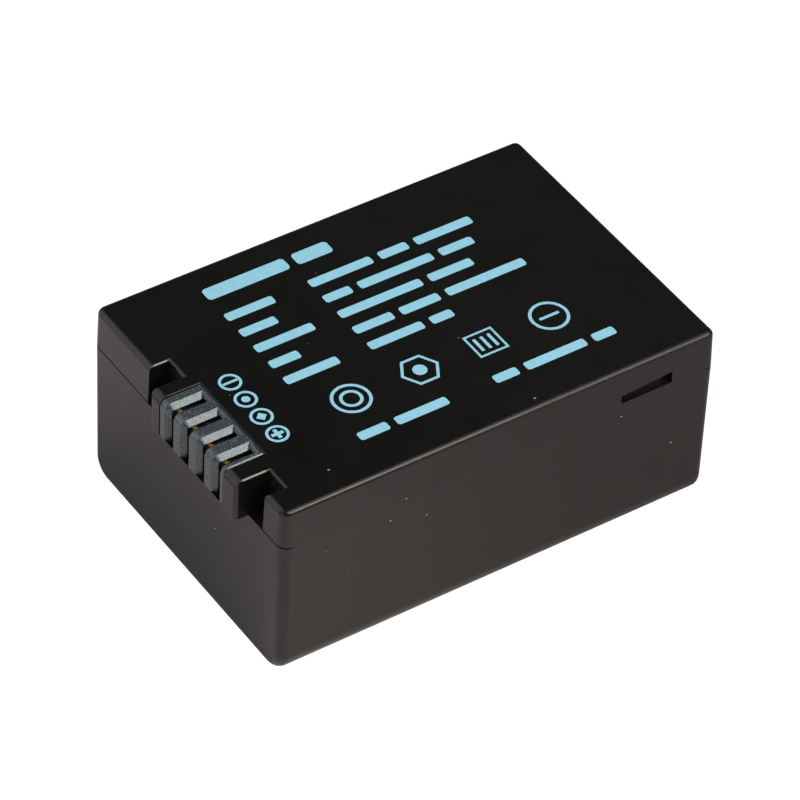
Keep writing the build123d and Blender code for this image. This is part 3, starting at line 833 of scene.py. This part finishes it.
class BATTERY_OT_print_symbols(bpy.types.Operator):
    """Prints a row of plain outlined figures"""
    bl_idname = "battery.print_symbols"
    bl_label = "Print symbols"

    def execute(self, context):
        settings = context.scene.battery_print
        height = case_high.z - settings.ink_proud
        stroke = settings.ring_stroke * SYMBOL_STROKE
        corner = stroke * LINE_ROUND
        across = SYMBOL_ROW * MM
        piece = begin_shape("print_symbols")
        first, second, third, fourth = [place * MM for place in SYMBOL_PLACES]
        for radius in TARGET_RADII:
            add_ring(across, first, radius * MM, stroke, height, FINE_CORNERS)
        add_ring(across, second, HEXAGON_RADIUS * MM, stroke, height, 6)
        add_dot(across, second, HEXAGON_DOT * MM, height, SMALL_CORNERS)
        add_ring(across, third, SQUARE_RADIUS * MM, stroke, height, 4, math.radians(45.0))
        for step in (-1, 0, 1):
            add_bar(across, third + step * SQUARE_PITCH * MM, SQUARE_BAR * MM, stroke, height, corner)
        add_ring(across, fourth, DISC_RADIUS * MM, stroke, height, FINE_CORNERS)
        add_bar(across, fourth, stroke, DISC_BAR * MM, height, corner)
        thicken_ink(settings.ink_proud)
        end_shape(piece, bpy.data.materials["printing_ink"])
        return {"FINISHED"}


class BATTERY_OT_dust_specks(bpy.types.Operator):
    """Puts a few specks of lint on the faces"""
    bl_idname = "battery.dust_specks"
    bl_label = "Add dust specks"

    def execute(self, context):
        specks = [(SPECK_RADIUS, (tray_high.x, along * MM, up * MM)) for along, up in RIGHT_SPECKS]
        specks += [(SPECK_RADIUS, (across * MM, tray_low.y, up * MM)) for across, up in FRONT_SPECKS]
        specks += [(SPECK_RADIUS, (across * MM, along * MM, case_high.z)) for across, along in TOP_SPECKS]
        specks += [(FAINT_RADIUS, (tray_high.x, along * MM, up * MM)) for along, up in FAINT_SPECKS]
        piece = begin_shape("dust_specks")
        for index, (radius, place) in enumerate(specks):
            length = SPECK_LENGTH + SPECK_STEP * (index % SPECK_STEPS)
            bpy.ops.mesh.primitive_ico_sphere_add(subdivisions=2, radius=radius, location=place)
            bpy.ops.transform.vertex_random(offset=SPECK_UNEVEN * radius, seed=index)
            bpy.ops.transform.resize(value=(SPECK_WIDTH, length, SPECK_HEIGHT), center_override=place)
        end_shape(piece, dust_fluff())
        return {"FINISHED"}


class BATTERY_OT_stage(bpy.types.Operator):
    """Sets up the white floor, the soft lights and the camera"""
    bl_idname = "battery.stage"
    bl_label = "Set up studio"

    def execute(self, context):
        settings = context.scene.battery_studio
        self.lay_floor(settings)
        self.set_world(context.scene)
        warm = tuple(settings.light_colour)
        cool = tuple(settings.front_colour)
        self.hang_light("key_light", settings.key_power, warm, *KEY_LIGHT)
        self.hang_light("overhead_light", settings.roof_power, warm, *OVERHEAD_LIGHT)
        self.hang_light("back_light", settings.back_power, warm, *BACK_LIGHT)
        self.hang_light("front_panel", settings.panel_power, cool, *FRONT_PANEL)
        self.hang_light("front_light", settings.front_power, cool, *FRONT_LIGHT)
        self.hang_light("low_light", settings.low_power, cool, *LOW_LIGHT)
        self.hang_light("left_light", settings.left_power, cool, *LEFT_LIGHT)
        self.place_camera(context.scene, settings)
        return {"FINISHED"}

    def lay_floor(self, settings):
        """A white floor that the camera sees as pure white and the pack sees as lit by the lights, with
        painted light and shade in its colour.
        """
        bpy.ops.object.select_all(action="DESELECT")
        bpy.ops.mesh.primitive_plane_add(size=FLOOR_SIZE, location=(0.0, 0.0, case_low.z))
        floor = bpy.context.object
        floor.name = "floor"
        material, tree, shader = new_material("floor_white")
        colour = tuple(settings.floor_colour)
        dark = shade(colour, FLOOR_DARK)
        pale = shade(colour, FLOOR_PALE)
        # Painted light and shade: the floor's colour is paler or darker by place, as if lit unevenly
        tree.links.new(mix_colour(tree, self.painted_floor_light(tree), dark, pale), shader.inputs["Base Color"])
        shader.inputs["Roughness"].default_value = 0.9
        glow = add_node(tree, "ShaderNodeEmission", Strength=BACKDROP_GLOW)
        path = add_node(tree, "ShaderNodeLightPath")
        either = add_node(tree, "ShaderNodeMixShader")
        output = tree.nodes["Material Output"]
        tree.links.new(path.outputs["Is Camera Ray"], either.inputs[0])
        tree.links.new(shader.outputs[0], either.inputs[1])
        tree.links.new(glow.outputs[0], either.inputs[2])
        tree.links.new(either.outputs[0], output.inputs["Surface"])
        floor.data.materials.append(material)
        floor.select_set(False)

    def painted_floor_light(self, tree):
        """The floor's painted light and shade from 0 to 1: pale on the left, and from pale to dark along the
        right side.
        """
        across = place_axis(tree, "X")
        along = place_axis(tree, "Y")
        right = spread(tree, across, 0.0, 1.0, *RIGHT_FADE)
        fall = spread(tree, along, 0.5, -0.5, *REAR_FADE)
        left = spread(tree, across, 0.5, 0.0, *LEFT_FADE)
        sides = math_node(tree, "ADD", math_node(tree, "MULTIPLY", right, fall), left)
        return math_node(tree, "ADD", sides, 0.5)

    def set_world(self, scene):
        """A dim room that the pack reflects, behind a backdrop that the camera sees as white."""
        world = bpy.data.worlds.new("studio_room")
        world.use_nodes = True
        tree = world.node_tree
        room = tree.nodes["Background"]
        room.inputs["Color"].default_value = (1.0, 1.0, 1.0, 1.0)
        room.inputs["Strength"].default_value = ROOM_GLOW
        backdrop = add_node(tree, "ShaderNodeBackground", Strength=BACKDROP_GLOW)
        backdrop.inputs["Color"].default_value = (1.0, 1.0, 1.0, 1.0)
        path = add_node(tree, "ShaderNodeLightPath")
        either = add_node(tree, "ShaderNodeMixShader")
        tree.links.new(path.outputs["Is Camera Ray"], either.inputs[0])
        tree.links.new(room.outputs[0], either.inputs[1])
        tree.links.new(backdrop.outputs[0], either.inputs[2])
        tree.links.new(either.outputs[0], tree.nodes["World Output"].inputs["Surface"])
        scene.world = world
        scene.view_settings.view_transform = "Standard"

    def hang_light(self, name, power, colour, direction, distance, size):
        """A square soft light in one direction from the pack, turned towards it."""
        lamp = bpy.data.lights.new(name, "AREA")
        lamp.energy = power
        lamp.size = size
        lamp.color = colour
        light = bpy.data.objects.new(name, lamp)
        bpy.context.scene.collection.objects.link(light)
        towards = Vector(direction).normalized()
        light.location = Vector((0.0, 0.0, case_high.z / 2)) + towards * distance
        light.rotation_mode = "QUATERNION"
        light.rotation_quaternion = (-towards).to_track_quat("-Z", "Y")

    def place_camera(self, scene, settings):
        """The camera, turned by azimuth, elevation and roll."""
        data = bpy.data.cameras.new("camera")
        data.sensor_width = SENSOR_WIDTH
        data.lens = settings.lens
        data.clip_start = NEAREST
        camera = bpy.data.objects.new("camera", data)
        scene.collection.objects.link(camera)
        turn = Matrix.Rotation(settings.azimuth, 4, "Z")
        turn = turn @ Matrix.Rotation(math.pi / 2 - settings.elevation, 4, "X")
        turn = turn @ Matrix.Rotation(settings.roll, 4, "Z")
        aim = Vector(CAMERA_AIM) * MM
        back = turn @ Vector((0.0, 0.0, 1.0))
        camera.matrix_world = Matrix.Translation(aim + back * settings.distance) @ turn
        scene.camera = camera


class BATTERY_PT_panel(bpy.types.Panel):
    """Lists the steps that dress the pack"""
    bl_idname = "BATTERY_PT_panel"
    bl_label = "Camera battery"
    bl_space_type = "VIEW_3D"
    bl_region_type = "UI"
    bl_category = "Battery"

    def draw(self, context):
        for step in STEPS:
            self.layout.operator(step.bl_idname)


SETTINGS = (
    (ShellSettings, "battery_shells"),
    (TerminalSettings, "battery_terminals"),
    (PrintSettings, "battery_print"),
    (StudioSettings, "battery_studio"),
)
STEPS = (
    BATTERY_OT_finish_shells,
    BATTERY_OT_finish_terminals,
    BATTERY_OT_finish_inside,
    BATTERY_OT_print_rings,
    BATTERY_OT_print_rows,
    BATTERY_OT_print_symbols,
    BATTERY_OT_dust_specks,
    BATTERY_OT_stage,
)


def register():
    """Registers the settings, the steps and the panel."""
    for group, name in SETTINGS:
        bpy.utils.register_class(group)
        setattr(bpy.types.Scene, name, PointerProperty(type=group))
    for step in (*STEPS, BATTERY_PT_panel):
        bpy.utils.register_class(step)


def unregister():
    """Takes the panel, the steps and the settings away again."""
    for step in reversed((*STEPS, BATTERY_PT_panel)):
        bpy.utils.unregister_class(step)
    for group, name in reversed(SETTINGS):
        delattr(bpy.types.Scene, name)
        bpy.utils.unregister_class(group)


def main():
    """Dresses the pack step by step."""
    register()
    bpy.ops.battery.finish_shells()
    bpy.ops.battery.finish_terminals()
    bpy.ops.battery.finish_inside()
    bpy.ops.battery.print_rings()
    bpy.ops.battery.print_rows()
    bpy.ops.battery.print_symbols()
    bpy.ops.battery.dust_specks()
    bpy.ops.battery.stage()


if __name__ == "__main__":
    main()
